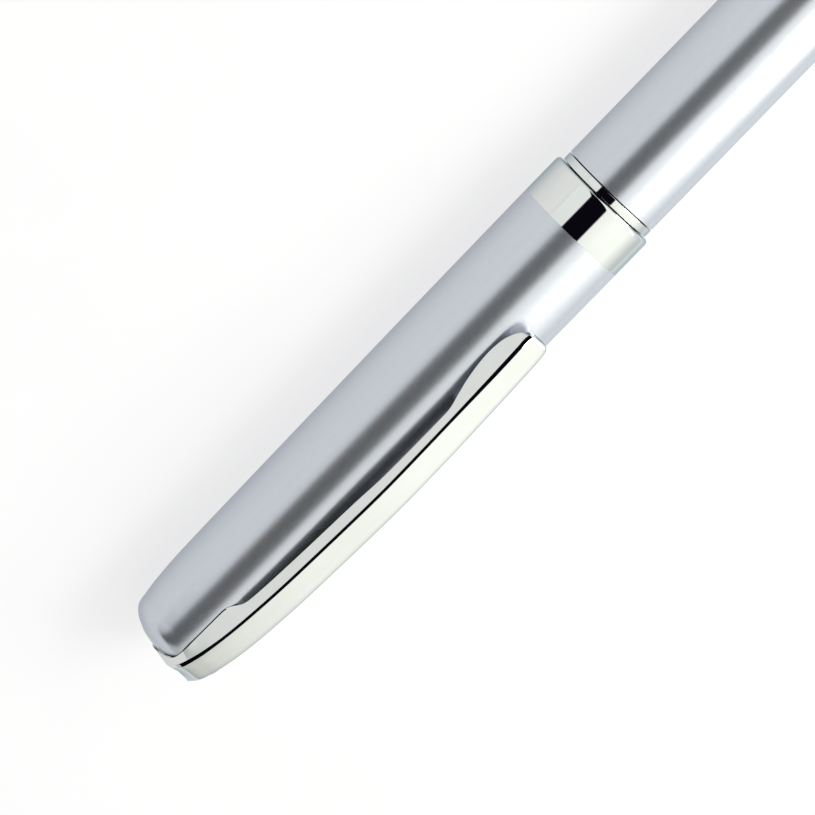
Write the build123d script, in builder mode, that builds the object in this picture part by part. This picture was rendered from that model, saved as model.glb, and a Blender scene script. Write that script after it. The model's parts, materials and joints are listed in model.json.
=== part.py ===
from build123d import *
import os

# A capped technical pen in satin and polished metal, lying along X with its clip upward.
# Stations are measured along the pen from the crown of the cap, which points to +X.
# Radii are measured from the pen's own axis. All sizes are in millimetres.

# Overall
PEN_LENGTH = 140.0
CAP_RADIUS = 6.30
FIT = 0.05

# Cap, by station
CAP_LENGTH = 64.75
DOME_DEPTH = 2.6
DOME_RADIUS = 5.35
BAND_START = 60.0
BAND_EDGE_ROUND = 0.55
CAP_BORE = 5.20
BAND_SPIGOT_RADIUS = 5.75
BAND_SPIGOT_START = 57.5
BUTTON_RADIUS = 3.30
BUTTON_DEPTH = 1.6
BUTTON_PROUD = 0.06
CORE_RADIUS = 4.50
CORE_STEP = 9.5
CORE_END = 13.0
INNER_CAP_FLOOR = 1.2
INNER_CAP_BORE = 4.50
INNER_CAP_MOUTH = 33.4
MOUTH_SEAL_END = 34.3
SEAL_PAD_THICKNESS = 3.0
SCREW_RADIUS = 1.0
SCREW_HEAD_RADIUS = 1.8
SCREW_HEAD_HEIGHT = 1.2

# Clip and its hinge
CLIP_WIDTH = 3.45
CLIP_CHAMFER = 0.21
CLIP_DRAFT = 0.194
CLIP_FOOT_END = 8.55
# Each section of the clip: its station, the height of its back and of its underside.
CLIP_ARM = [
    (9.6, 7.98, 5.79), (10.2, 8.05, 6.22), (11.2, 8.17, 6.46), (14.2, 8.50, 6.84), (19.3, 8.86, 7.28),
    (25.4, 9.22, 7.67), (29.5, 9.35, 7.95), (34.6, 9.27, 7.98), (39.2, 9.18, 7.98), (40.1, 9.16, 7.63),
    (41.3, 9.13, 7.27), (43.0, 9.09, 6.81), (44.3, 9.04, 6.57), (46.1, 8.98, 6.45), (47.9, 8.88, 6.69),
    (49.1, 8.76, 7.32), (49.8, 8.62, 7.80), (50.3, 8.25, 8.00),
]
# Each section of its flared foot also has the half-width of its underside.
CLIP_FOOT = [
    (0.0, 4.35, 3.0, 1.80), (1.05, 5.55, 3.2, 1.89), (2.6, 6.35, 4.2, 2.64), (4.1, 6.85, 4.4, 2.71),
    (6.5, 7.45, 4.5, 2.81), (8.2, 7.78, 4.6, 2.82), (8.8, 7.87, 5.0, 2.50),
]
SLOT_WIDTH = CLIP_WIDTH + 4 * FIT
SLOT_END = 9.45
SLOT_FLOOR = -0.8
PIN_STATION = 5.0
PIN_HEIGHT = 2.6
PIN_RADIUS = 0.6
PIN_LENGTH = 6.2
SPRING_STATION = 3.2
SPRING_RADIUS = 0.9
SPRING_WIRE = 0.17
SPRING_TURNS = 5
SPRING_POCKET_RADIUS = 1.25
SPRING_FLOOR = -3.5

# Snap ring between cap and grip
SNAP_START = 62.45
SNAP_WIDTH = 0.9
SNAP_INNER = 5.12
SNAP_OUTER = 5.45
SNAP_GAP = 1.4

# Grip and its threaded collar
GRIP_START = 34.6
GRIP_END = 61.0
GRIP_FRONT_RADIUS = 4.75
GRIP_REAR_RADIUS = 4.95
GRIP_BORE = 3.60
GRIP_COUNTERBORE = 4.30
COLLAR_START = 55.0
COLLAR_BORE = 3.90
BEAD_RADIUS = 5.05
RING_START = 64.90
RING_END = 65.75
BARREL_RADIUS = 5.72
THREAD_RADIUS = 4.60
THREAD_END = 75.0
COLOUR_RING_START = 57.6
COLOUR_RING_WIDTH = 1.6
COLOUR_RING_DEPTH = 0.30

# Drawing point
TIP = 21.0
TUBE_RADIUS = 0.35
TUBE_BORE = 0.23
TUBE_END = 28.0
SHOULDER_START = 23.5
SHOULDER_RADIUS = 0.9
SHOULDER_FLANGE = 1.4
SHOULDER_END = 30.0
HOLDER_START = 26.0
HOLDER_NOSE_RADIUS = 1.5
FLUTED_START = 31.0
FLUTED_END = 34.55
FLUTED_RADIUS = 3.9
FLUTE_COUNT = 18
POINT_THREAD_END = 40.0
SEAL_GROOVE = (40.6, 41.8)
SEAL_GROOVE_RADIUS = 2.75
STEM_RADIUS = 2.4
COMB_START = 43.0
COMB_END = 51.5
COMB_RADIUS = 3.2
COMB_GROOVES = 8
CHAMBER_RADIUS = 1.3
CHAMBER_START = 34.8
RETAINER_START = 48.3
RETAINER_END = 52.3
RETAINER_HOLE = 0.5
SPIGOT_RADIUS = 1.65
SPIGOT_BORE = 0.9
SPIGOT_END = 59.0

# Cleaning wire and its weight
WIRE_RADIUS = 0.15
WIRE_PROUD = 0.3
WEIGHT_RADIUS = 1.2
WEIGHT_START = 35.0
WEIGHT_END = 47.0

# Ink cartridge
CARTRIDGE_START = 54.0
CARTRIDGE_SHELL_START = 58.4
CARTRIDGE_END = 104.0
CARTRIDGE_RADIUS = 3.60
CARTRIDGE_WALL = 0.5
NECK_END = 60.3
NECK_RADIUS = 3.1
INK_END = 96.0

# Barrel
BARREL_START = 65.87
BARREL_TAPER_START = 104.0
BARREL_END = 134.0
BARREL_END_RADIUS = 5.05
BARREL_FRONT_BORE = 5.20
BARREL_BORE = 4.60
BUSH_START = 66.9
BUSH_END = 77.0
PLUG_SPIGOT_RADIUS = 4.2
PLUG_SPIGOT_START = 128.0
SEAL_RING_WIRE = 0.25

# The pen's own frame: sketches on SIDE read as (station, radius), with the clip upward.
CROWN = Vector(PEN_LENGTH / 2, 0, CAP_RADIUS)
SIDE = Plane(origin=CROWN, x_dir=(-1, 0, 0), z_dir=(0, 1, 0))
PEN_AXIS = Axis(CROWN, (-1, 0, 0))


def at(station, height=0.0, side=0.0):
    """The point at a station, a height above the axis and an offset to one side."""
    return (CROWN.X - station, side, CROWN.Z + height)


def cross_plane(station):
    """The plane across the pen at a station, facing the barrel's far end."""
    return Plane(origin=at(station), x_dir=(0, -1, 0), z_dir=(-1, 0, 0))


def turn_ring(start, end, inner, outer, mode=Mode.ADD):
    """Turn a plain ring, or a solid rod where inner is 0, in the part being built."""
    with BuildSketch(SIDE) as section:
        with Locations(((start + end) / 2, (inner + outer) / 2)):
            Rectangle(end - start, outer - inner)
    revolve(section.sketch, axis=PEN_AXIS, mode=mode)


def turn_outline(*corners, mode=Mode.ADD):
    """Turn a closed outline of (station, radius) corners in the part being built."""
    with BuildSketch(SIDE) as section:
        with BuildLine():
            Polyline(*corners, close=True)
        make_face()
    revolve(section.sketch, axis=PEN_AXIS, mode=mode)


def turn_seal(station, radius, wire):
    """Turn an O-ring of round section in the part being built."""
    with BuildSketch(SIDE) as section:
        with Locations((station, radius)):
            Circle(wire)
    revolve(section.sketch, axis=PEN_AXIS)


def cut_clip_slot(start):
    """Cut the slot for the clip's root, open at the crown, in the part being built."""
    height = 2 * CAP_RADIUS
    with Locations(at((start + SLOT_END) / 2, SLOT_FLOOR + height / 2)):
        Box(SLOT_END - start, SLOT_WIDTH, height, mode=Mode.SUBTRACT)


# ---------------------------------------------------------------- cap

with BuildPart() as cap_shell:
    with BuildSketch(SIDE):
        with BuildLine():
            dome = EllipticalCenterArc(
                (DOME_DEPTH, 0), DOME_DEPTH - BUTTON_PROUD, DOME_RADIUS, start_angle=90, arc_size=90
            )
            shoulder = Spline(
                (DOME_DEPTH, DOME_RADIUS), (5.1, 5.68), (9.2, 5.90), (19.3, 6.02), (39.7, 6.20),
                (BAND_START, CAP_RADIUS),
            )
            Polyline(shoulder @ 1, (BAND_START, 0), (BUTTON_PROUD, 0))
        make_face()
    revolve(axis=PEN_AXIS)
    turn_ring(0, BUTTON_DEPTH, 0, BUTTON_RADIUS, mode=Mode.SUBTRACT)
    turn_ring(BUTTON_DEPTH, CORE_STEP, 0, CORE_RADIUS, mode=Mode.SUBTRACT)
    turn_ring(CORE_STEP, BAND_SPIGOT_START, 0, CAP_BORE, mode=Mode.SUBTRACT)
    turn_ring(BAND_SPIGOT_START, BAND_START, 0, BAND_SPIGOT_RADIUS, mode=Mode.SUBTRACT)
    with Locations(at(SLOT_END / 2, CAP_RADIUS / 2 + 0.1)):
        Box(SLOT_END, SLOT_WIDTH, CAP_RADIUS, mode=Mode.SUBTRACT)

with BuildPart() as cap_lip_band:
    turn_ring(BAND_START, CAP_LENGTH, CAP_BORE, CAP_RADIUS)
    fillet(
        cap_lip_band.edges().filter_by(GeomType.CIRCLE).group_by(Axis.X)[0].sort_by(SortBy.RADIUS)[-1],
        radius=BAND_EDGE_ROUND,
    )
    turn_ring(BAND_SPIGOT_START, BAND_START, CAP_BORE, BAND_SPIGOT_RADIUS)
    turn_ring(
        SNAP_START - FIT, SNAP_START + SNAP_WIDTH + FIT, CAP_BORE, SNAP_OUTER + FIT, mode=Mode.SUBTRACT
    )

with BuildPart() as crown_button:
    with BuildSketch(SIDE):
        with BuildLine():
            EllipticalCenterArc((DOME_DEPTH, 0), DOME_DEPTH, DOME_RADIUS, start_angle=90, arc_size=90)
            Polyline((DOME_DEPTH, DOME_RADIUS), (DOME_DEPTH, 0), (0, 0))
        make_face()
    revolve(axis=PEN_AXIS)
    turn_ring(0, DOME_DEPTH, BUTTON_RADIUS, DOME_RADIUS + 1, mode=Mode.SUBTRACT)
    turn_ring(BUTTON_DEPTH, DOME_DEPTH, 0, BUTTON_RADIUS, mode=Mode.SUBTRACT)
    cut_clip_slot(0)

with BuildPart() as cap_core:
    turn_ring(BUTTON_DEPTH, CORE_STEP, 0, CORE_RADIUS)
    turn_ring(CORE_STEP, CORE_END, 0, CAP_BORE)
    cut_clip_slot(BUTTON_DEPTH)
    with BuildSketch(Plane.XZ):
        with Locations((at(PIN_STATION)[0], CROWN.Z + PIN_HEIGHT)):
            Circle(PIN_RADIUS)
    extrude(amount=CORE_RADIUS, both=True, mode=Mode.SUBTRACT)
    with BuildSketch(Plane.XY.offset(CROWN.Z + SPRING_FLOOR)):
        with Locations((at(SPRING_STATION)[0], 0)):
            Circle(SPRING_POCKET_RADIUS)
    extrude(amount=SLOT_FLOOR - SPRING_FLOOR, mode=Mode.SUBTRACT)
    turn_ring(CORE_STEP + 0.4, CORE_END, 0, SCREW_RADIUS, mode=Mode.SUBTRACT)

with BuildPart() as core_screw:
    head_start = CORE_END + INNER_CAP_FLOOR
    turn_ring(CORE_STEP + 0.6, head_start, 0, SCREW_RADIUS)
    turn_ring(head_start, head_start + SCREW_HEAD_HEIGHT, 0, SCREW_HEAD_RADIUS)
    with BuildSketch(cross_plane(head_start + SCREW_HEAD_HEIGHT)):
        Rectangle(2 * SCREW_HEAD_RADIUS, 0.4)
    extrude(amount=-0.6, mode=Mode.SUBTRACT)

with BuildPart() as clip_pin:
    with BuildSketch(Plane.XZ):
        with Locations((at(PIN_STATION)[0], CROWN.Z + PIN_HEIGHT)):
            Circle(PIN_RADIUS)
    extrude(amount=PIN_LENGTH / 2, both=True)
    chamfer(clip_pin.edges().filter_by(GeomType.CIRCLE), length=0.1)

with BuildPart() as clip_spring:
    rise = -FIT - SPRING_FLOOR - 2 * SPRING_WIRE
    with BuildLine():
        coil = Helix(
            rise / SPRING_TURNS, rise, SPRING_RADIUS, center=at(SPRING_STATION, SPRING_FLOOR + SPRING_WIRE)
        )
    with BuildSketch(Plane(origin=coil @ 0, z_dir=coil % 0)):
        Circle(SPRING_WIRE)
    sweep()

with BuildPart() as inner_cap:
    turn_ring(CORE_END, INNER_CAP_MOUTH, 0, CAP_BORE)
    turn_ring(CORE_END + INNER_CAP_FLOOR, INNER_CAP_MOUTH, 0, INNER_CAP_BORE, mode=Mode.SUBTRACT)
    turn_ring(CORE_END, CORE_END + INNER_CAP_FLOOR, 0, SCREW_RADIUS, mode=Mode.SUBTRACT)

with BuildPart() as seal_pad:
    pad_start = CORE_END + INNER_CAP_FLOOR
    pad_end = pad_start + SEAL_PAD_THICKNESS
    turn_ring(pad_start, pad_end, 0, INNER_CAP_BORE)
    turn_ring(pad_start, pad_start + SCREW_HEAD_HEIGHT, 0, SCREW_HEAD_RADIUS, mode=Mode.SUBTRACT)
    turn_outline((pad_end, 0), (pad_end, 1.4), (pad_end - 0.8, 0.6), (pad_end - 0.8, 0), mode=Mode.SUBTRACT)

with BuildPart() as mouth_seal:
    turn_ring(INNER_CAP_MOUTH, MOUTH_SEAL_END, INNER_CAP_BORE - 0.2, CAP_BORE)
    fillet(mouth_seal.edges().filter_by(GeomType.CIRCLE).group_by(Axis.X)[0], radius=0.25)

with BuildPart() as snap_ring:
    turn_ring(SNAP_START, SNAP_START + SNAP_WIDTH, SNAP_INNER, SNAP_OUTER)
    with Locations(at(SNAP_START + SNAP_WIDTH / 2, -CAP_RADIUS)):
        Box(2 * SNAP_WIDTH, SNAP_GAP, 3, mode=Mode.SUBTRACT)

# ---------------------------------------------------------------- clip

def drafted(back, underside):
    """Half the clip's width at its underside, where its sides have only their draft."""
    return CLIP_WIDTH / 2 + CLIP_DRAFT * (back - CLIP_CHAMFER - underside)


with BuildPart() as clip:
    arm = [(station, back, underside, drafted(back, underside)) for station, back, underside in CLIP_ARM]
    for station, back, underside, half_width in CLIP_FOOT + arm:
        edge = CLIP_WIDTH / 2
        with BuildSketch(cross_plane(station)):
            with BuildLine():
                Polyline(
                    (-edge + CLIP_CHAMFER, back), (edge - CLIP_CHAMFER, back), (edge, back - CLIP_CHAMFER),
                    (half_width, underside), (-half_width, underside), (-edge, back - CLIP_CHAMFER),
                    close=True,
                )
            make_face()
    loft(ruled=True)
    turn_outline(
        (-1, 0), (-1, 3.3), (0.3, 3.5), (1.0, 4.72), (2.6, 5.76), (5.1, 5.82), (9.2, 5.98), (12, 6.05),
        (12, 0), mode=Mode.SUBTRACT,
    )
    with BuildSketch(SIDE):
        with BuildLine():
            Polyline(
                (0, 0), (0, 4.1), (1.05, 5.2), (4.1, 6.3), (CLIP_FOOT_END, 6.3), (CLIP_FOOT_END, 0),
                close=True,
            )
        make_face()
    extrude(amount=CLIP_WIDTH / 2, both=True)
    with BuildSketch(Plane.XZ):
        with Locations((at(PIN_STATION)[0], CROWN.Z + PIN_HEIGHT)):
            Circle(PIN_RADIUS + FIT)
    extrude(amount=CLIP_WIDTH, both=True, mode=Mode.SUBTRACT)

# ---------------------------------------------------------------- grip

with BuildPart() as grip_sleeve:
    turn_outline(
        (GRIP_START, 0), (GRIP_START, GRIP_FRONT_RADIUS), (GRIP_END, GRIP_REAR_RADIUS), (GRIP_END, 0)
    )
    chamfer(
        grip_sleeve.edges().filter_by(GeomType.CIRCLE).group_by(Axis.X)[-1].sort_by(SortBy.RADIUS)[-1],
        length=0.2,
    )
    turn_ring(GRIP_START, COLLAR_START, 0, GRIP_BORE, mode=Mode.SUBTRACT)
    turn_ring(COLLAR_START, GRIP_END, 0, GRIP_COUNTERBORE, mode=Mode.SUBTRACT)
    turn_ring(
        COLOUR_RING_START, COLOUR_RING_START + COLOUR_RING_WIDTH,
        GRIP_REAR_RADIUS - COLOUR_RING_DEPTH, CAP_RADIUS, mode=Mode.SUBTRACT,
    )

with BuildPart() as colour_ring:
    turn_ring(
        COLOUR_RING_START, COLOUR_RING_START + COLOUR_RING_WIDTH,
        GRIP_REAR_RADIUS - COLOUR_RING_DEPTH, GRIP_REAR_RADIUS,
    )

with BuildPart() as grip_collar:
    turn_outline(
        (COLLAR_START, COLLAR_BORE), (COLLAR_START, GRIP_COUNTERBORE), (GRIP_END, GRIP_COUNTERBORE),
        (GRIP_END, GRIP_REAR_RADIUS), (62.3, GRIP_REAR_RADIUS), (62.6, BEAD_RADIUS), (63.2, BEAD_RADIUS),
        (63.5, GRIP_REAR_RADIUS), (RING_START, GRIP_REAR_RADIUS), (RING_START, BARREL_RADIUS),
        (RING_END, BARREL_RADIUS), (RING_END, THREAD_RADIUS), (THREAD_END, THREAD_RADIUS),
        (THREAD_END, COLLAR_BORE),
    )
    chamfer(
        grip_collar.edges().filter_by(GeomType.CIRCLE).group_by(Axis.X)[0].sort_by(SortBy.RADIUS)[-1],
        length=0.3,
    )

# ---------------------------------------------------------------- drawing point

with BuildPart() as point_holder:
    turn_outline(
        (HOLDER_START, 0), (HOLDER_START, HOLDER_NOSE_RADIUS), (FLUTED_START, 3.0),
        (FLUTED_START, FLUTED_RADIUS), (FLUTED_END, FLUTED_RADIUS), (FLUTED_END, GRIP_BORE - FIT),
        (POINT_THREAD_END, GRIP_BORE - FIT), (POINT_THREAD_END, 3.2), (SEAL_GROOVE[0], 3.2),
        (SEAL_GROOVE[0], SEAL_GROOVE_RADIUS), (SEAL_GROOVE[1], SEAL_GROOVE_RADIUS),
        (SEAL_GROOVE[1], 3.2), (COMB_START, 3.2), (COMB_START, STEM_RADIUS), (COMB_END, STEM_RADIUS),
        (COMB_END, 0),
    )
    with BuildSketch(cross_plane(FLUTED_START)):
        with PolarLocations(FLUTED_RADIUS + 0.25, FLUTE_COUNT):
            Circle(0.5)
    extrude(amount=FLUTED_END - FLUTED_START, mode=Mode.SUBTRACT)
    turn_ring(HOLDER_START, 28.0, 0, SHOULDER_RADIUS, mode=Mode.SUBTRACT)
    turn_ring(28.0, SHOULDER_END, 0, SHOULDER_FLANGE, mode=Mode.SUBTRACT)
    turn_ring(SHOULDER_END, CHAMBER_START, 0, 0.4, mode=Mode.SUBTRACT)
    turn_ring(CHAMBER_START, COMB_END, 0, CHAMBER_RADIUS, mode=Mode.SUBTRACT)

with BuildPart() as point_shoulder:
    turn_outline(
        (SHOULDER_START, TUBE_RADIUS), (SHOULDER_START, 0.65), (SHOULDER_START + 0.3, SHOULDER_RADIUS),
        (28.0, SHOULDER_RADIUS), (28.0, SHOULDER_FLANGE), (SHOULDER_END, SHOULDER_FLANGE),
        (SHOULDER_END, 0.3), (TUBE_END, 0.3), (TUBE_END, TUBE_RADIUS),
    )

with BuildPart() as point_tube:
    turn_ring(TIP, TUBE_END, TUBE_BORE, TUBE_RADIUS)
    chamfer(
        point_tube.edges().filter_by(GeomType.CIRCLE).group_by(Axis.X)[-1].sort_by(SortBy.RADIUS)[-1],
        length=0.05,
    )

with BuildPart() as feed_comb:
    turn_ring(COMB_START, COMB_END, STEM_RADIUS, COMB_RADIUS)
    groove_pitch = (COMB_END - COMB_START) / (COMB_GROOVES + 0.5)
    for groove in range(COMB_GROOVES):
        groove_start = COMB_START + (groove + 0.5) * groove_pitch
        turn_ring(groove_start, groove_start + groove_pitch / 2, 2.8, COMB_RADIUS, mode=Mode.SUBTRACT)
    with Locations(at((COMB_START + COMB_END) / 2, COMB_RADIUS)):
        Box(COMB_END - COMB_START, 0.5, 0.8, mode=Mode.SUBTRACT)

with BuildPart() as point_o_ring:
    turn_seal(sum(SEAL_GROOVE) / 2, (SEAL_GROOVE_RADIUS + GRIP_BORE) / 2, 0.36)

with BuildPart() as point_retainer:
    turn_ring(RETAINER_START, COMB_END, 0, CHAMBER_RADIUS)
    turn_ring(COMB_END, RETAINER_END, 0, STEM_RADIUS)
    turn_ring(RETAINER_START, RETAINER_END, 0, RETAINER_HOLE, mode=Mode.SUBTRACT)

with BuildPart() as cartridge_spigot:
    turn_ring(RETAINER_END, RETAINER_END + 0.7, SPIGOT_BORE, STEM_RADIUS)
    turn_outline(
        (RETAINER_END, SPIGOT_BORE), (RETAINER_END, SPIGOT_RADIUS), (SPIGOT_END - 0.6, SPIGOT_RADIUS),
        (SPIGOT_END, SPIGOT_RADIUS - 0.4), (SPIGOT_END, SPIGOT_BORE),
    )

with BuildPart() as cleaning_wire:
    turn_ring(TIP - WIRE_PROUD, WEIGHT_START, 0, WIRE_RADIUS)

with BuildPart() as wire_weight:
    turn_ring(WEIGHT_START, WEIGHT_END, 0, WEIGHT_RADIUS)
    chamfer(wire_weight.edges().filter_by(GeomType.CIRCLE), length=0.25)

# ---------------------------------------------------------------- ink cartridge

with BuildPart() as cartridge_neck:
    turn_ring(CARTRIDGE_START, CARTRIDGE_SHELL_START, SPIGOT_RADIUS + 0.1, NECK_RADIUS + 0.1)
    turn_ring(CARTRIDGE_SHELL_START, NECK_END, SPIGOT_RADIUS + 0.1, NECK_RADIUS)

with BuildPart() as ink_cartridge:
    turn_ring(CARTRIDGE_SHELL_START, CARTRIDGE_END, 0, CARTRIDGE_RADIUS)
    fillet(ink_cartridge.edges().filter_by(GeomType.CIRCLE).group_by(Axis.X)[0], radius=1.2)
    turn_ring(
        CARTRIDGE_SHELL_START, CARTRIDGE_END - 1.5, 0, CARTRIDGE_RADIUS - CARTRIDGE_WALL,
        mode=Mode.SUBTRACT,
    )

with BuildPart() as ink_charge:
    turn_ring(NECK_END, INK_END, 0, CARTRIDGE_RADIUS - CARTRIDGE_WALL)

# ---------------------------------------------------------------- barrel

with BuildPart() as barrel_shell:
    turn_outline(
        (BARREL_START, 0), (BARREL_START, BARREL_RADIUS - 0.06), (BARREL_START + 0.06, BARREL_RADIUS),
        (BARREL_TAPER_START, BARREL_RADIUS), (BARREL_END, BARREL_END_RADIUS), (BARREL_END, 0),
    )
    turn_ring(BARREL_START, BUSH_END, 0, BARREL_FRONT_BORE, mode=Mode.SUBTRACT)
    turn_ring(BUSH_END, PLUG_SPIGOT_START, 0, BARREL_BORE, mode=Mode.SUBTRACT)
    turn_ring(PLUG_SPIGOT_START, BARREL_END, 0, PLUG_SPIGOT_RADIUS, mode=Mode.SUBTRACT)

with BuildPart() as barrel_bush:
    turn_ring(BUSH_START, BUSH_END, THREAD_RADIUS + FIT, BARREL_FRONT_BORE)

with BuildPart() as barrel_o_ring:
    turn_seal(BUSH_START - 0.3, (THREAD_RADIUS + BARREL_FRONT_BORE) / 2 + 0.03, SEAL_RING_WIRE)

with BuildPart() as end_plug:
    with BuildSketch(SIDE):
        with BuildLine():
            side = Line((BARREL_END, BARREL_END_RADIUS), (BARREL_END + 3.2, BARREL_END_RADIUS - 0.07))
            EllipticalCenterArc(
                (BARREL_END + 3.2, 0), PEN_LENGTH - BARREL_END - 3.2, BARREL_END_RADIUS - 0.07,
                start_angle=0, arc_size=90,
            )
            Polyline((PEN_LENGTH, 0), (BARREL_END, 0), side @ 0)
        make_face()
    revolve(axis=PEN_AXIS)
    turn_ring(PLUG_SPIGOT_START, BARREL_END, 0, PLUG_SPIGOT_RADIUS)
    turn_ring(PLUG_SPIGOT_START, BARREL_END, 0, PLUG_SPIGOT_RADIUS - 1, mode=Mode.SUBTRACT)

# ---------------------------------------------------------------- one STEP file per piece

pieces = {
    "cap_shell": cap_shell,
    "cap_lip_band": cap_lip_band,
    "crown_button": crown_button,
    "cap_core": cap_core,
    "core_screw": core_screw,
    "clip_pin": clip_pin,
    "clip_spring": clip_spring,
    "inner_cap": inner_cap,
    "seal_pad": seal_pad,
    "mouth_seal": mouth_seal,
    "snap_ring": snap_ring,
    "clip": clip,
    "grip_sleeve": grip_sleeve,
    "colour_ring": colour_ring,
    "grip_collar": grip_collar,
    "point_holder": point_holder,
    "point_shoulder": point_shoulder,
    "point_tube": point_tube,
    "feed_comb": feed_comb,
    "point_o_ring": point_o_ring,
    "point_retainer": point_retainer,
    "cartridge_spigot": cartridge_spigot,
    "cleaning_wire": cleaning_wire,
    "wire_weight": wire_weight,
    "cartridge_neck": cartridge_neck,
    "ink_cartridge": ink_cartridge,
    "ink_charge": ink_charge,
    "barrel_shell": barrel_shell,
    "barrel_bush": barrel_bush,
    "barrel_o_ring": barrel_o_ring,
    "end_plug": end_plug,
}

os.makedirs("parts", exist_ok=True)
for name, piece in pieces.items():
    piece.part.label = name
    export_step(piece.part, f"parts/{name}.step")
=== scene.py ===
import json
import math

import bmesh
import bpy
from mathutils import Matrix, Vector


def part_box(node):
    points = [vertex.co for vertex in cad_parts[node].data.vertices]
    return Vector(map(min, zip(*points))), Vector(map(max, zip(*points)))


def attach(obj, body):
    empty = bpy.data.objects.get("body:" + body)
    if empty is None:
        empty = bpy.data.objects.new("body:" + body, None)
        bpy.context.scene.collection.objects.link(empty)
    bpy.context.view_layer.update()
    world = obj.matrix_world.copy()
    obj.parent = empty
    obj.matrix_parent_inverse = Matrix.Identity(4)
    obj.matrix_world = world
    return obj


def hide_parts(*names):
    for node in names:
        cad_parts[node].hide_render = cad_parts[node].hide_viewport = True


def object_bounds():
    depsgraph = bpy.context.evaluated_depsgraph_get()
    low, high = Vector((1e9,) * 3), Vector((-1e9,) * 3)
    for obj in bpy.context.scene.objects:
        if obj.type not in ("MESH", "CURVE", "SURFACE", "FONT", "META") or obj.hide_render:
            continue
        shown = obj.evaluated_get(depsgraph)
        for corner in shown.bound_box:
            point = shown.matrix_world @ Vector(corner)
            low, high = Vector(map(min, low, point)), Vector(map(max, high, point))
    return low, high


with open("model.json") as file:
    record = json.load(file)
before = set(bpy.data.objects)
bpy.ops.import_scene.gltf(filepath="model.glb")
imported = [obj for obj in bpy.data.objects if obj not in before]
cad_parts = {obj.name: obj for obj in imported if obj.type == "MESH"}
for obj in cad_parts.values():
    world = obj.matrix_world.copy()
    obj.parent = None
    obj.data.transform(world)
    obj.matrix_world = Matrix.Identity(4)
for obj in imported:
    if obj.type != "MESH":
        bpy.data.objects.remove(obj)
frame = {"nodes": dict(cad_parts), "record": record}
cad_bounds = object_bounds()

# Sizes below are in millimetres, as (station along the pen from the crown, radius from its axis).
# The frame gives where the crown and the axis are.
MM = 0.001
CROWN_X = cad_bounds[1][0] / MM
AXIS_Z = (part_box("cap_lip_band")[0].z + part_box("cap_lip_band")[1].z) / 2 / MM
CAP_LENGTH = CROWN_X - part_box("cap_lip_band")[0].x / MM
CAP_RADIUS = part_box("cap_lip_band")[1].y / MM
BARREL_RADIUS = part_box("barrel_shell")[1].y / MM
PEN_LENGTH = CROWN_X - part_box("end_plug")[0].x / MM

DOME_DEPTH = 2.6
DOME_RADIUS = 5.35
BAND_START = 60.0
BUTTON_RADIUS = 3.30
BUTTON_PROUD = 0.06
CLIP_WIDTH = 3.45
CLIP_CHAMFER = 0.25
CLIP_TIP = 50.3
CLIP_FOOT_END = 8.55
SLOT_WIDTH = 3.65
SLOT_END = 9.45
SLOT_FLOOR = -0.8
CAP_SPIGOT_START = 57.5
CAP_SPIGOT_RADIUS = 5.75
CAP_BORE = 5.2
CORE_START = 1.6
GRIP_START = 34.6
COLLAR_START = 55.0
GRIP_END = 61.0
GRIP_REAR_RADIUS = 4.95
RING_END = 65.75
THREAD_FROM = 66.3
THREAD_TO = 74.3
THREAD_RADIUS = 4.6
THREAD_PITCH = 1.0
THREAD_DEPTH = 0.26
BARREL_START = 65.87
BARREL_END = 134.0
PLUG_START = 128.0
PLUG_SPIGOT_RADIUS = 4.2
AROUND = 256
CLIP_SHARP = 14     # degrees between faces that show as a crease
LATHE_SHARP = 30


# ---------------------------------------------------------------- geometry helpers

def place(station, radius, angle=0.0):
    """A point in metres, its angle counted about the pen's axis from straight up."""
    return Vector((
        (CROWN_X - station) * MM,
        radius * math.sin(angle) * MM,
        (AXIS_Z + radius * math.cos(angle)) * MM,
    ))


def rounded(outline, steps=4):
    """Round the corners of a closed outline of (station, radius, rounding) points."""
    result = []
    count = len(outline)
    for i, (s, r, rounding) in enumerate(outline):
        here = Vector((s, r))
        if rounding == 0:
            result.append(here)
            continue
        before = Vector(outline[i - 1][:2]) - here
        after = Vector(outline[(i + 1) % count][:2]) - here
        start = here + before.normalized() * rounding
        end = here + after.normalized() * rounding
        for k in range(steps + 1):
            t = k / steps
            result.append(start * (1 - t) ** 2 + here * 2 * t * (1 - t) + end * t ** 2)
    return result


def ellipse(center, depth, radius, first, last, steps):
    """Points on an ellipse about a station on the axis, between two angles in degrees."""
    points = []
    for k in range(steps + 1):
        a = math.radians(first + (last - first) * k / steps)
        points.append((center + depth * math.cos(a), radius * math.sin(a)))
    return points


def smooth_line(points, steps):
    """A Catmull-Rom curve through (station, radius) points."""
    ends = [points[0]] + list(points) + [points[-1]]
    curve = []
    for i in range(1, len(ends) - 2):
        a, b, c, d = (Vector(p) for p in ends[i - 1:i + 3])
        for k in range(steps):
            t = k / steps
            curve.append(0.5 * (
                2 * b + (c - a) * t + (2 * a - 5 * b + 4 * c - d) * t ** 2
                + (3 * b - a - 3 * c + d) * t ** 3
            ))
    curve.append(Vector(points[-1]))
    return [tuple(p) for p in curve]


def finish_mesh(name, build, material, sharp=LATHE_SHARP):
    """Turn a bmesh into an object with smooth faces and sharp creases."""
    bmesh.ops.remove_doubles(build, verts=build.verts, dist=1e-8)
    bmesh.ops.recalc_face_normals(build, faces=build.faces)
    for face in build.faces:
        face.smooth = True
    for edge in build.edges:
        if len(edge.link_faces) == 2 and edge.calc_face_angle(0) > math.radians(sharp):
            edge.smooth = False
    mesh = bpy.data.meshes.new(name)
    build.to_mesh(mesh)
    build.free()
    mesh.materials.append(material)
    piece = bpy.data.objects.new(name, mesh)
    bpy.context.scene.collection.objects.link(piece)
    return piece


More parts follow.
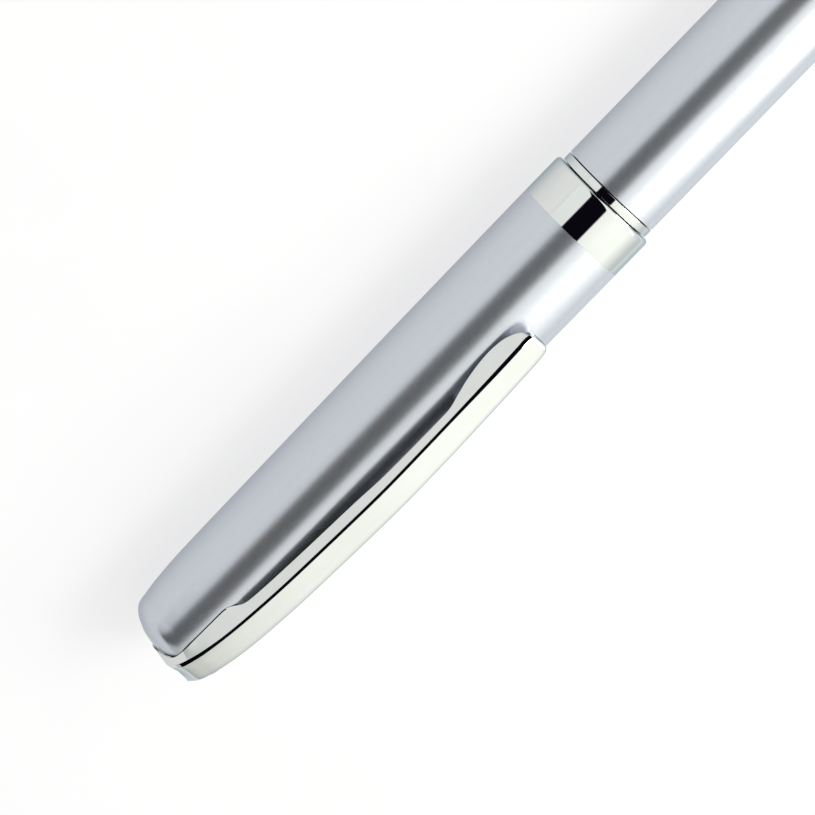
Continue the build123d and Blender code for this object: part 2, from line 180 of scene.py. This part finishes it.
def lathe(name, outline, material, around=AROUND, dip=None):
    """Turn a closed outline of (station, radius) points about the pen's axis.

    dip, if given, says how far the surface lies below the outline at a station, radius and angle.
    """
    build = bmesh.new()
    rings = []
    for s, r in (tuple(p)[:2] for p in outline):
        if r < 1e-6:
            rings.append([build.verts.new(place(s, 0))])
            continue
        ring = []
        for k in range(around):
            angle = 2 * math.pi * k / around
            ring.append(build.verts.new(place(s, r - dip(s, r, angle) if dip else r, angle)))
        rings.append(ring)
    for i, ring in enumerate(rings):
        following = rings[(i + 1) % len(rings)]
        for k in range(around):
            corners = []
            for vert in (ring[k % len(ring)], ring[(k + 1) % len(ring)],
                         following[(k + 1) % len(following)], following[k % len(following)]):
                if vert not in corners:
                    corners.append(vert)
            if len(corners) > 2:
                build.faces.new(corners)
    return finish_mesh(name, build, material)


def cut(piece, build, sharp):
    """Cut a closed tool shape out of a piece, and mark its creases again."""
    tool_mesh = bpy.data.meshes.new("tool")
    build.to_mesh(tool_mesh)
    build.free()
    tool = bpy.data.objects.new("tool", tool_mesh)
    bpy.context.scene.collection.objects.link(tool)
    modifier = piece.modifiers.new("cut", "BOOLEAN")
    modifier.object = tool
    modifier.operation = "DIFFERENCE"
    modifier.solver = "EXACT"
    bpy.context.view_layer.update()
    done = bpy.data.meshes.new_from_object(piece.evaluated_get(bpy.context.evaluated_depsgraph_get()))
    piece.modifiers.remove(modifier)
    piece.data = done
    bpy.data.objects.remove(tool)
    build = bmesh.new()
    build.from_mesh(done)
    for face in build.faces:
        face.smooth = True
    for edge in build.edges:
        if len(edge.link_faces) == 2:
            edge.smooth = edge.calc_face_angle(0) < math.radians(sharp)
    build.to_mesh(done)
    build.free()


def cut_slot(piece, floor, end):
    """Cut the slot for the clip's root out of a turned piece."""
    low = Vector(((CROWN_X - end) * MM, -SLOT_WIDTH / 2 * MM, (AXIS_Z + floor) * MM))
    high = Vector(((CROWN_X + 1) * MM, SLOT_WIDTH / 2 * MM, (AXIS_Z + 8) * MM))
    build = bmesh.new()
    bmesh.ops.create_cube(build, size=1)
    for vert in build.verts:
        vert.co = Vector(low[i] if vert.co[i] < 0 else high[i] for i in range(3))
    cut(piece, build, LATHE_SHARP)


def cut_pin_hole(piece, station, height, radius):
    """Drill a hole across the pen through a piece."""
    build = bmesh.new()
    turn = Matrix.Rotation(math.radians(90), 4, "X")
    centre = Matrix.Translation(place(station, height))
    bmesh.ops.create_cone(
        build, cap_ends=True, segments=48, radius1=radius * MM, radius2=radius * MM, depth=8 * MM,
        matrix=centre @ turn,
    )
    cut(piece, build, CLIP_SHARP)


def add_piece(piece, body, slot, *nodes):
    """Attach a finished piece to the body it rides on and hide the CAD nodes it stands for; slot, its
    finish, is not used.
    """
    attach(piece, body)
    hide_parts(*nodes)
    return piece


# ---------------------------------------------------------------- materials

class Nodes:
    """A small builder for one material's node tree."""

    def __init__(self, name):
        self.material = bpy.data.materials.new(name)
        self.material.use_nodes = True
        self.tree = self.material.node_tree
        self.shader = self.tree.nodes["Principled BSDF"]
        self.coords = self.tree.nodes.new("ShaderNodeTexCoord").outputs["Object"]

    def add(self, kind, **inputs):
        node = self.tree.nodes.new(kind)
        for key, value in inputs.items():
            self.feed(node, key.replace("_", " "), value)
        return node

    def feed(self, node, key, value):
        if isinstance(value, bpy.types.NodeSocket):
            self.tree.links.new(value, node.inputs[key])
        else:
            node.inputs[key].default_value = value

    def noise(self, scale, detail=2.0, stretch=(1, 1, 1)):
        mapping = self.add("ShaderNodeMapping", Vector=self.coords, Scale=stretch)
        return self.add(
            "ShaderNodeTexNoise", Vector=mapping.outputs["Vector"], Scale=scale, Detail=detail
        ).outputs["Fac"]

    def grains(self, scale):
        """A random value for each small cell."""
        return self.add("ShaderNodeTexVoronoi", Vector=self.coords, Scale=scale).outputs["Color"]

    def spread(self, value, low, high, start=0.3, end=0.7):
        node = self.add("ShaderNodeMapRange", Value=value)
        for key, number in (("From Min", start), ("From Max", end), ("To Min", low), ("To Max", high)):
            node.inputs[key].default_value = number
        return node.outputs["Result"]

    def mix(self, factor, first, second):
        node = self.tree.nodes.new("ShaderNodeMix")
        node.data_type = "RGBA"
        self.feed(node, 0, factor)
        self.feed(node, 6, (*first, 1))
        self.feed(node, 7, (*second, 1))
        return node.outputs[2]

    def bump(self, height, distance, strength=1.0):
        node = self.add("ShaderNodeBump", Height=height, Strength=strength, Distance=distance)
        self.tree.links.new(node.outputs["Normal"], self.shader.inputs["Normal"])

    def set(self, **inputs):
        for key, value in inputs.items():
            self.feed(self.shader, key.replace("_", " "), value)


def satin_metal():
    """Pearl-blasted steel under clear lacquer: a soft cool sheen with a very fine speckle."""
    m = Nodes("satin_metal")
    grains = m.grains(6500)
    m.set(Metallic=0.88, Specular_Tint=(0.64, 0.67, 0.70, 1))
    m.set(Base_Color=m.mix(m.spread(grains, 0, 1), (0.553, 0.575, 0.627), (0.567, 0.589, 0.641)))
    m.set(Roughness=m.spread(grains, 0.254, 0.272))
    m.bump(grains, 0.0000008, 0.5)
    return m.material


def polished_metal():
    """Mirror-polished plating with faint wiping marks."""
    m = Nodes("polished_metal")
    wipe = m.noise(900, 4, (0.25, 1, 1))
    m.set(Metallic=1.0, Specular_Tint=(0.48, 0.58, 0.64, 1))
    m.set(Base_Color=m.mix(m.spread(wipe, 0, 1), (0.66, 0.683, 0.665), (0.684, 0.701, 0.688)))
    m.set(Roughness=m.spread(wipe, 0.02, 0.045))
    m.bump(m.noise(300, 2), 0.0000006, 0.3)
    return m.material


def machined_metal(name, first, second, roughness):
    """Turned bar stock with fine tool marks round the pen's axis."""
    m = Nodes(name)
    marks = m.noise(2500, 3, (1, 0.08, 0.08))
    m.set(Metallic=1.0)
    m.set(Base_Color=m.mix(marks, first, second))
    m.set(Roughness=m.spread(marks, roughness - 0.06, roughness + 0.06))
    m.bump(marks, 0.000004, 0.4)
    return m.material


def moulded_plastic(name, first, second, roughness, **extra):
    """Injection-moulded plastic or rubber with a faint flow texture."""
    m = Nodes(name)
    flow = m.noise(700, 4)
    m.set(Base_Color=m.mix(m.spread(flow, 0, 1), first, second))
    m.set(Roughness=m.spread(flow, roughness - 0.04, roughness + 0.04))
    m.set(**extra)
    m.bump(m.noise(4000, 2), 0.000004, 0.3)
    return m.material


MATERIALS = {
    "satin_metal": satin_metal(),
    "polished_metal": polished_metal(),
    # dark_groove is painted shade: near-black metal given to the collar's groove and undercut, and to the
    # clip's underside and tip end, where shade falls.
    "dark_groove": machined_metal("dark_groove", (0.015, 0.017, 0.022), (0.03, 0.032, 0.04), 0.5),
    "plain_steel": machined_metal("plain_steel", (0.50, 0.50, 0.51), (0.60, 0.60, 0.61), 0.30),
    "brass": machined_metal("brass", (0.66, 0.50, 0.26), (0.78, 0.62, 0.36), 0.32),
    "grip_metal": machined_metal("grip_metal", (0.50, 0.51, 0.54), (0.58, 0.59, 0.62), 0.34),
    "liner_plastic": moulded_plastic("liner_plastic", (0.02, 0.02, 0.022), (0.03, 0.03, 0.033), 0.5),
    "seal_rubber": moulded_plastic("seal_rubber", (0.012, 0.012, 0.012), (0.02, 0.02, 0.02), 0.7),
    "code_colour": moulded_plastic("code_colour", (0.02, 0.07, 0.32), (0.03, 0.09, 0.38), 0.22),
    "point_plastic": moulded_plastic("point_plastic", (0.012, 0.012, 0.014), (0.02, 0.02, 0.024), 0.25),
    "cartridge_plastic": moulded_plastic(
        "cartridge_plastic", (0.80, 0.82, 0.84), (0.86, 0.87, 0.89), 0.2, Transmission_Weight=0.7
    ),
    "ink": moulded_plastic("ink", (0.002, 0.002, 0.004), (0.004, 0.004, 0.008), 0.08),
}


# ---------------------------------------------------------------- visible pieces

def make_cap_shell():
    """The satin cap, open at both ends, with the clip's slot."""
    dome = ellipse(DOME_DEPTH, DOME_DEPTH - BUTTON_PROUD, DOME_RADIUS, 180 - 38, 96, 24)
    edge = [(2.45, 5.345), (2.6, 5.375), (2.8, 5.405)]
    side = smooth_line(
        [(3.1, 5.43), (5.1, 5.68), (9.2, 5.90), (19.3, 6.02), (39.7, 6.20), (BAND_START, CAP_RADIUS)], 24
    )
    inside = [
        (BAND_START, CAP_SPIGOT_RADIUS), (CAP_SPIGOT_START, CAP_SPIGOT_RADIUS),
        (CAP_SPIGOT_START, CAP_BORE), (9.5, CAP_BORE), (9.5, 4.5), (CORE_START, 4.5),
        (CORE_START, BUTTON_RADIUS),
    ]
    outline = [p for p in dome if p[1] >= BUTTON_RADIUS]
    front = DOME_DEPTH - (DOME_DEPTH - BUTTON_PROUD) * math.sqrt(1 - (BUTTON_RADIUS / DOME_RADIUS) ** 2)
    shell = lathe("cap_shell_skin", [(front, BUTTON_RADIUS)] + outline + edge + side + inside,
                  MATERIALS["satin_metal"])
    cut_slot(shell, 0.1, SLOT_END)
    return add_piece(shell, "cap", "satin_metal", "cap_shell")


def make_lip_band():
    """The polished band at the cap's lip, with its rounded edge and the snap ring's groove."""
    outline = rounded([
        (BAND_START, CAP_RADIUS, 0.02), (CAP_LENGTH, CAP_RADIUS, 0.55), (CAP_LENGTH, CAP_BORE, 0.1),
        (63.4, CAP_BORE, 0), (63.4, 5.5, 0), (62.4, 5.5, 0), (62.4, CAP_BORE, 0),
        (CAP_SPIGOT_START, CAP_BORE, 0), (CAP_SPIGOT_START, CAP_SPIGOT_RADIUS, 0),
        (BAND_START, CAP_SPIGOT_RADIUS, 0),
    ], 10)
    return add_piece(
        lathe("lip_band_polished", outline, MATERIALS["polished_metal"]), "cap", "polished_metal",
        "cap_lip_band",
    )


def make_crown_button():
    """The polished button that closes the crown, with the clip's slot."""
    dome = ellipse(DOME_DEPTH, DOME_DEPTH, DOME_RADIUS, 180, 100, 60)
    face = [p for p in dome if p[1] < BUTTON_RADIUS - 0.04]
    face[0] = (0, 0)
    edge_station = DOME_DEPTH - DOME_DEPTH * math.sqrt(1 - (BUTTON_RADIUS / DOME_RADIUS) ** 2)
    rim = BUTTON_RADIUS - 0.01
    outline = face + [(edge_station + 0.015, rim), (CORE_START, rim), (CORE_START, 0)]
    button = lathe("crown_button_polished", outline, MATERIALS["polished_metal"])
    cut_slot(button, SLOT_FLOOR, 3)
    return add_piece(button, "cap", "polished_metal", "crown_button")


# The clip, as (station, height) along its back, and (station, half-width, height) along the
# lower edge of its sides, which starts on the cap as a flared foot and ends round the spoon.
CLIP_BACK = [
    (0, 4.35), (1.05, 5.55), (2.6, 6.32), (4.1, 6.85), (6.5, 7.45), (9.6, 7.97), (14.2, 8.50),
    (19.3, 8.86), (25.4, 9.21), (29.5, 9.34), (34.6, 9.29), (39.2, 9.18), (44.3, 9.04), (47.9, 8.88),
    (49.1, 8.78), (CLIP_TIP, 8.64),
]
CLIP_EDGE = [
    (0, 1.74, 0.6), (0.35, 1.76, 2.3), (1.05, 1.92, 4.05), (2.6, 2.36, 4.98), (4.1, 2.46, 5.10),
    (6.5, 2.55, 5.24), (8.1, 2.58, 5.32), (8.75, 2.46, 5.42), (9.3, 2.24, 5.64), (9.8, 2.12, 6.02),
    (10.4, 2.14, 6.46), (11.4, 2.13, 6.71), (14.2, 2.04, 6.93), (19.3, 1.99, 7.28), (25.4, 1.98, 7.67),
    (29.5, 1.95, 8.01), (34.6, 1.92, 8.06), (38.4, 1.91, 8.03), (39.4, 1.93, 7.90), (40.6, 2.00, 7.50),
    (42.0, 2.09, 7.07), (43.4, 2.14, 6.74), (44.8, 2.17, 6.53), (46.2, 2.17, 6.46), (47.6, 2.13, 6.62),
    (48.6, 2.05, 6.98), (49.4, 1.84, 7.36), (50.0, 1.66, 7.78), (CLIP_TIP, 1.58, 7.88),
]
CLIP_TIP_ROUND = 0.35       # rounding of the tip, seen from the side
CLIP_CORNER = 1.2           # rounding of the tip's corners, seen from above
CLIP_CROWN = 0.055          # how far the back falls towards its bevels
CLIP_ROOT = 0.12            # height of the root's underside, in the cap's slot
CLIP_PIN_AT = (5.0, 2.6, 0.65)
CLIP_ON_CAP_END = 9.6       # where the foot leaves the cap
CLIP_SPOON_FROM = 41
# Shares of the way down the clip's side that have a vertex, close together at its lower edge.
SIDE_SHARES = (1 / 6, 2 / 6, 3 / 6, 4 / 6, 0.94, 1.0)
# The clip's material indexes: polished, the near-black one used as painted shade, and satin.
POLISHED, PAINTED_SHADE, SATIN = range(3)


def cap_radius(station):
    """The cap's outer radius near the clip's foot."""
    if station < DOME_DEPTH:
        return DOME_RADIUS * math.sqrt(1 - (1 - station / DOME_DEPTH) ** 2)
    return 5.35 + 0.57 * (1 - math.exp(-(station - DOME_DEPTH) / 3.2))


def along(curve, station):
    """The values of a curve of (station, ...) points at a station."""
    for one, two in zip(curve, curve[1:]):
        if station <= two[0]:
            t = (station - one[0]) / max(two[0] - one[0], 1e-9)
            return [a + (b - a) * t for a, b in zip(one[1:], two[1:])]
    return list(curve[-1][1:])


def clip_section(station, back, edge, with_root):
    """One cross-section of the clip, right side then left, as (side, height) points."""
    top = along(back, station)[0]
    from_tip = CLIP_TIP - station
    if from_tip < CLIP_TIP_ROUND:
        top -= CLIP_TIP_ROUND - math.sqrt(max(CLIP_TIP_ROUND ** 2 - (CLIP_TIP_ROUND - from_tip) ** 2, 0))
    width, low = along(edge, station)
    half = CLIP_WIDTH / 2 - 0.05 * max(0.0, (station - 35) / 15)
    if from_tip < CLIP_CORNER:
        corner = 0.5 * (CLIP_CORNER - math.sqrt(max(CLIP_CORNER ** 2 - (CLIP_CORNER - from_tip) ** 2, 0)))
        half -= corner
        width -= corner
    # A wider bevel on the foot and on the spoon.
    chamfer = CLIP_CHAMFER + 0.13 * max(0.0, 1 - station / 6)
    chamfer += 0.08 * min(1.0, max(0.0, (station - 38) / 8))
    low = min(low, top - chamfer - 0.03)
    flat = half - chamfer
    right = [(0.0, top), (0.3 * flat, top), (0.6 * flat, top), (0.84 * flat, top - 0.008),
             (flat, top - CLIP_CROWN), (half, top - chamfer)]
    for t in SIDE_SHARES:
        right.append((half + (width - half) * t, top - chamfer + (low - top + chamfer) * t))
    inner = CLIP_WIDTH / 2 * (0.97 if station < 10 else 0.62)
    for side in (inner, inner, inner / 2, 0.0):
        gap = 0.12 + 0.2 * max(0.0, 1 - station / 6)
        on_cap = math.sqrt(max((cap_radius(station) + gap) ** 2 - side ** 2, 0))
        under = on_cap if station < CLIP_ON_CAP_END else low
        right.append((side, max(under, low) if station > 1 else min(under, low)))
    if with_root:
        right[-3:] = [(inner, CLIP_ROOT), (inner / 2, CLIP_ROOT), (0.0, CLIP_ROOT)]
    elif station > CLIP_SPOON_FROM:
        # The belly under the spoon, which comes down almost to the cap.
        growth = min(1.0, (station - CLIP_SPOON_FROM) / 4)
        depth = growth ** 2 * (3 - 2 * growth)
        belly = 6.2 + 1.0 * max(0.0, (station - 49.3) / (CLIP_TIP - 49.3)) ** 2
        for k, share in ((-3, 0.45), (-2, 0.85), (-1, 1.0)):
            side, height = right[k]
            right[k] = (side * (1 - 0.35 * depth), height + min(0.0, belly - height) * depth * share)
    return right + [(-side, height) for side, height in reversed(right[1:-1])]


def make_clip():
    """The clip: one closed bar, built from cross-sections at stations along it."""
    back = smooth_line(CLIP_BACK, 16)
    edge = smooth_line(CLIP_EDGE, 12)
    stations = (
        [0.1 * k for k in range(86)] + [CLIP_FOOT_END] + [8.6 + 0.1 * k for k in range(30)]
        + [11.6 + 0.2 * k for k in range(188)] + [49.2 + 0.05 * k for k in range(22)] + [CLIP_TIP]
    )
    rows = []
    for station in stations:
        if station <= CLIP_FOOT_END:
            rows.append((station, True))
        if station >= CLIP_FOOT_END:
            rows.append((station, False))
    build = bmesh.new()
    sections = []
    for station, with_root in rows:
        section = []
        for side, height in clip_section(station, back, edge, with_root):
            across = max(0.0, 1 - (side / (CLIP_WIDTH / 2)) ** 2)
            hollow = 0.28 * max(0.0, 1 - station / 1.5) ** 2 * across
            section.append(build.verts.new(Vector((
                (CROWN_X - station - hollow) * MM, side * MM, (AXIS_Z + height) * MM,
            ))))
        sections.append(section)
    count = len(sections[0])
    half_count = count // 2
    for (station, with_root), one, two in zip(rows, sections, sections[1:]):
        for k in range(count):
            face = build.faces.new((one[k], one[(k + 1) % count], two[(k + 1) % count], two[k]))
            from_middle = min(abs(k - half_count), abs(k + 1 - half_count))
            if station < CLIP_ON_CAP_END:
                # Painted shade: the rim of the foot's underside, or all of it past the root, gets the
                # near-black material for the shadowed gap against the cap.
                dark = from_middle in (3, 4) if with_root else from_middle < 4
                face.material_index = PAINTED_SHADE if dark else POLISHED
            elif station < 40:
                # Painted shade: the middle of the arm's underside gets the near-black material for the
                # shade between clip and cap.
                face.material_index = PAINTED_SHADE if from_middle < 2 else POLISHED
            else:
                face.material_index = SATIN if from_middle < 4 else POLISHED
    build.faces.new(sections[0])
    # Painted shadow: the tip's end face gets the near-black material for the thin shadow line where it
    # meets the cap.
    build.faces.new(sections[-1]).material_index = PAINTED_SHADE
    clip = finish_mesh("clip_polished", build, MATERIALS["polished_metal"], CLIP_SHARP)
    clip.data.materials.append(MATERIALS["dark_groove"])
    clip.data.materials.append(MATERIALS["satin_metal"])
    cut_pin_hole(clip, *CLIP_PIN_AT)
    return add_piece(clip, "clip", "polished_metal", "clip")


def paint_shade(piece, first, last, radius):
    """Paint shade on a lathed piece: give the near-black material to its faces between two stations,
    inside a radius.
    """
    piece.data.materials.append(MATERIALS["dark_groove"])
    for polygon in piece.data.polygons:
        x, y, z = polygon.center / MM
        if first < CROWN_X - x < last and math.hypot(y, z - AXIS_Z) < radius:
            polygon.material_index = PAINTED_SHADE


def thread_dip(station, radius, angle):
    """How deep the collar's right-handed thread is cut at a station and an angle."""
    if abs(radius - THREAD_RADIUS) > 0.001 or not THREAD_FROM < station < THREAD_TO:
        return 0.0
    phase = (station / THREAD_PITCH - angle / (2 * math.pi)) % 1
    flank = min(1.0, max(0.0, (abs(2 * phase - 1) - 0.15) / 0.7))
    fade = min(1.0, (station - THREAD_FROM) / 0.8, (THREAD_TO - station) / 0.8)
    return THREAD_DEPTH * flank * fade


def make_grip_sleeve():
    """The grip section, with fine turned rings where the fingers hold it."""
    def radius(station):
        return 4.75 + 0.20 * (station - GRIP_START) / 26.4

    outline = [(GRIP_START, radius(GRIP_START), 0.35)]
    for k in range(8):
        start = 37.5 + 1.1 * k
        for step, depth in ((0, 0), (0.08, 0.1), (0.34, 0.1), (0.42, 0)):
            outline.append((start + step, radius(start + step) - depth, 0.02))
    outline += [
        (57.6, radius(57.6), 0.05), (57.6, 4.65, 0), (59.2, 4.65, 0), (59.2, radius(59.2), 0.05),
        (GRIP_END, GRIP_REAR_RADIUS, 0.02), (GRIP_END, 4.3, 0), (COLLAR_START, 4.3, 0),
        (COLLAR_START, 3.6, 0), (GRIP_START, 3.6, 0.1),
    ]
    return add_piece(
        lathe("grip_sleeve_turned", rounded(outline), MATERIALS["grip_metal"]), "grip", "grip_metal",
        "grip_sleeve",
    )


def make_collar():
    """The collar: snap bead, groove at the cap's lip painted near-black as shade, polished ring and
    barrel thread.
    """
    groove_start = CAP_LENGTH - 0.25
    ring_start = CAP_LENGTH + 0.13
    outline = rounded([
        (COLLAR_START, 4.3, 0), (GRIP_END, 4.3, 0), (GRIP_END, GRIP_REAR_RADIUS, 0),
        (62.3, GRIP_REAR_RADIUS, 0), (62.6, 5.05, 0.1), (63.2, 5.05, 0.1), (63.5, GRIP_REAR_RADIUS, 0),
        (groove_start, GRIP_REAR_RADIUS, 0), (groove_start, 4.7, 0), (ring_start, 4.7, 0),
        (ring_start, BARREL_RADIUS, 0.05), (RING_END, BARREL_RADIUS, 0.06), (RING_END, THREAD_RADIUS, 0),
    ])
    outline += [(THREAD_FROM + 0.08 * k, THREAD_RADIUS) for k in range(101)]
    outline += [(74.7, THREAD_RADIUS), (75.0, 4.3), (75.0, 3.9), (COLLAR_START, 3.9)]
    collar = lathe("collar_polished", outline, MATERIALS["polished_metal"], dip=thread_dip)
    # Painted shade: the groove at the cap's lip is near-black, for the shadowed gap between collar and
    # cap.
    paint_shade(collar, groove_start - 0.01, ring_start - 0.01, GRIP_REAR_RADIUS + 0.01)
    # Painted shade: the undercut between the ring and the thread is near-black, for the shade in that
    # recess.
    paint_shade(collar, RING_END - 0.05, THREAD_FROM, 4.7)
    return add_piece(collar, "grip", "polished_metal", "grip_collar")


def make_barrel():
    """The satin barrel, straight and then gently tapered, with a stepped bore."""
    outline = rounded([
        (BARREL_START, BARREL_RADIUS, 0.06), (104.0, BARREL_RADIUS, 12), (BARREL_END, 5.05, 0.03),
        (BARREL_END, PLUG_SPIGOT_RADIUS, 0), (PLUG_START, PLUG_SPIGOT_RADIUS, 0), (PLUG_START, 4.6, 0),
        (77.0, 4.6, 0), (77.0, 5.2, 0), (BARREL_START, 5.2, 0),
    ], 12)
    return add_piece(
        lathe("barrel_skin", outline, MATERIALS["satin_metal"]), "barrel", "satin_metal", "barrel_shell"
    )


def make_end_plug():
    """The polished plug that closes the barrel, with its hollow spigot."""
    nose_start = 137.2
    nose = ellipse(nose_start, PEN_LENGTH - nose_start, 4.98, 90, 0, 32)
    nose[-1] = (PEN_LENGTH, 0)
    outline = [(BARREL_END, 5.02), (BARREL_END + 0.03, 5.05)] + nose + [
        (133.0, 0), (133.0, 3.2), (PLUG_START, 3.2), (PLUG_START, PLUG_SPIGOT_RADIUS),
        (BARREL_END, PLUG_SPIGOT_RADIUS),
    ]
    return add_piece(
        lathe("end_plug_polished", outline, MATERIALS["polished_metal"]), "barrel", "polished_metal",
        "end_plug",
    )


def paint_cad_nodes():
    """Give every carried-over CAD node the finish that the record names for it."""
    for part in frame["record"]["subparts"]:
        node = frame["nodes"][part["node"]]
        node.data.materials.clear()
        node.data.materials.append(MATERIALS[part["material_slot"]])
        for polygon in node.data.polygons:
            polygon.use_smooth = True
        node.data.set_sharp_from_angle(angle=math.radians(LATHE_SHARP))


# ---------------------------------------------------------------- stage, light and camera

# Brightness of the light tent, from its front wall over the top to its back wall.
FRONT_WALL = (0.955, 0.98, 0.965)
LENS_SLIT = (0.004, 0.003, 0.006)
OVERHEAD_FRONT = (1.12, 1.13, 1.08)
OVERHEAD = (1.28, 1.28, 1.21)
BACK_CORNER = (0.96, 0.98, 0.95)
BACK_WALL = (0.76, 0.79, 0.77)
TENT_STRENGTH = 1.12
PAPER_GLOW = 0.765


def make_floor():
    """White paper on a light table."""
    bpy.ops.mesh.primitive_plane_add(size=6, location=(0, 0, 0))
    floor = bpy.context.object
    floor.name = "floor"
    m = Nodes("floor_paper")
    m.set(Base_Color=m.mix(m.noise(40, 2), (0.10, 0.10, 0.10), (0.12, 0.12, 0.12)), Roughness=0.9)
    m.set(Emission_Color=(0.99, 0.99, 1, 1), Emission_Strength=PAPER_GLOW)
    floor.data.materials.append(m.material)


def make_world():
    """A light tent: bands of brightness round the pen's axis, with one dark slit for the lens."""
    world = bpy.data.worlds.new("tent")
    bpy.context.scene.world = world
    world.use_nodes = True
    tree = world.node_tree

    def math_node(operation, *values):
        node = tree.nodes.new("ShaderNodeMath")
        node.operation = operation
        for socket, value in zip(node.inputs, values):
            if isinstance(value, bpy.types.NodeSocket):
                tree.links.new(value, socket)
            else:
                socket.default_value = value
        return node.outputs[0]

    def ramp(value, stops):
        node = tree.nodes.new("ShaderNodeValToRGB")
        tree.links.new(value, node.inputs["Fac"])
        elements = node.color_ramp.elements
        while len(elements) < len(stops):
            elements.new(0.5)
        for element, (position, colour) in zip(elements, stops):
            element.position = position
            element.color = (*colour, 1)
        return node.outputs["Color"]

    split = tree.nodes.new("ShaderNodeSeparateXYZ")
    tree.links.new(tree.nodes.new("ShaderNodeTexCoord").outputs["Generated"], split.inputs[0])
    x, y, z = split.outputs
    # The slit stays wide towards the pen's ends.
    lifted = math_node("ADD", z, math_node("MULTIPLY", math_node("MULTIPLY", x, x), 0.35))
    angle = math_node("ARCTAN2", lifted, math_node("MULTIPLY", y, -1.0))
    # Degrees up from the front horizon, and the tent's brightness there.
    bands = [
        (0, FRONT_WALL), (29.5, FRONT_WALL), (31.5, LENS_SLIT), (69.0, LENS_SLIT),
        (71.5, OVERHEAD_FRONT), (98.0, OVERHEAD), (135.0, OVERHEAD), (155.0, BACK_CORNER),
        (167.0, BACK_WALL), (180, BACK_WALL),
    ]
    around = ramp(
        math_node("DIVIDE", angle, math.pi), [(degrees / 180, colour) for degrees, colour in bands]
    )
    # Dimmer towards the crown's end.
    dimming = [(0.0, 1.0), (0.53, 1.0), (0.75, 0.70), (0.86, 0.55), (1.0, 0.48)]
    lengthwise = ramp(
        math_node("MULTIPLY_ADD", x, 0.5, 0.5), [(share, (grey,) * 3) for share, grey in dimming]
    )
    product = tree.nodes.new("ShaderNodeMix")
    product.data_type = "RGBA"
    product.blend_type = "MULTIPLY"
    product.inputs[0].default_value = 1
    tree.links.new(around, product.inputs[6])
    tree.links.new(lengthwise, product.inputs[7])
    background = tree.nodes["Background"]
    background.inputs["Strength"].default_value = TENT_STRENGTH
    tree.links.new(product.outputs[2], background.inputs["Color"])


def add_lamp(name, place_at, aim, size, energy, colour=(1, 1, 1), in_reflections=False):
    """A square soft lamp, pointed at a spot."""
    lamp = bpy.data.lights.new(name, "AREA")
    lamp.shape = "SQUARE"
    lamp.size = size
    lamp.energy = energy
    lamp.color = colour
    lamp_object = bpy.data.objects.new(name, lamp)
    lamp_object.location = place_at
    lamp_object.rotation_euler = (Vector(aim) - Vector(place_at)).to_track_quat("-Z", "Y").to_euler()
    lamp_object.visible_glossy = in_reflections
    bpy.context.scene.collection.objects.link(lamp_object)


def make_lamps():
    """Two lamps that keep the paper pale, and one soft box above and behind the barrel."""
    add_lamp("paper_front", (-0.35, -0.9, 0.7), (-0.02, -0.03, 0), size=0.9, energy=2.6)
    add_lamp("paper_top", (-0.2, -0.1, 0.9), (0, 0, 0), size=0.8, energy=1.3)
    add_lamp(
        "barrel_box", (-0.17, 0.17, 0.27), (-0.14, 0.02, 0), size=0.28, energy=2.24,
        colour=(1, 1, 0.93), in_reflections=True,
    )


def make_camera():
    """Looks down at the pen from its -Y side, with the barrel running off at the upper right."""
    sensor_mm = 36
    elevation = math.radians(50)
    toward_barrel = math.radians(5)
    pen_slope = math.radians(45.8)
    focal_mm = 300
    width_seen = 0.0829
    back = Vector((
        -math.sin(toward_barrel), -math.cos(elevation) * math.cos(toward_barrel),
        math.sin(elevation) * math.cos(toward_barrel),
    ))
    barrelward = Vector((-1, 0, 0))
    barrelward = (barrelward - back * barrelward.dot(back)).normalized()
    across = back.cross(barrelward) * -1
    right = barrelward * math.cos(pen_slope) + across * math.sin(pen_slope)
    up = barrelward * math.sin(pen_slope) - across * math.cos(pen_slope)
    target = place(35.57, 0) + across * 0.00052
    data = bpy.data.cameras.new("camera")
    data.lens = focal_mm
    data.sensor_width = sensor_mm
    distance = focal_mm * width_seen / sensor_mm
    camera = bpy.data.objects.new("camera", data)
    bpy.context.scene.collection.objects.link(camera)
    rotation = Matrix((right, up, back)).transposed().to_4x4()
    rotation.translation = target + back * distance
    camera.matrix_world = rotation
    bpy.context.scene.camera = camera


make_camera()
paint_cad_nodes()
make_cap_shell()
make_lip_band()
make_crown_button()
make_clip()
make_grip_sleeve()
make_collar()
make_barrel()
make_end_plug()
make_floor()
make_world()
make_lamps()
bpy.context.scene.view_settings.view_transform = "Standard"
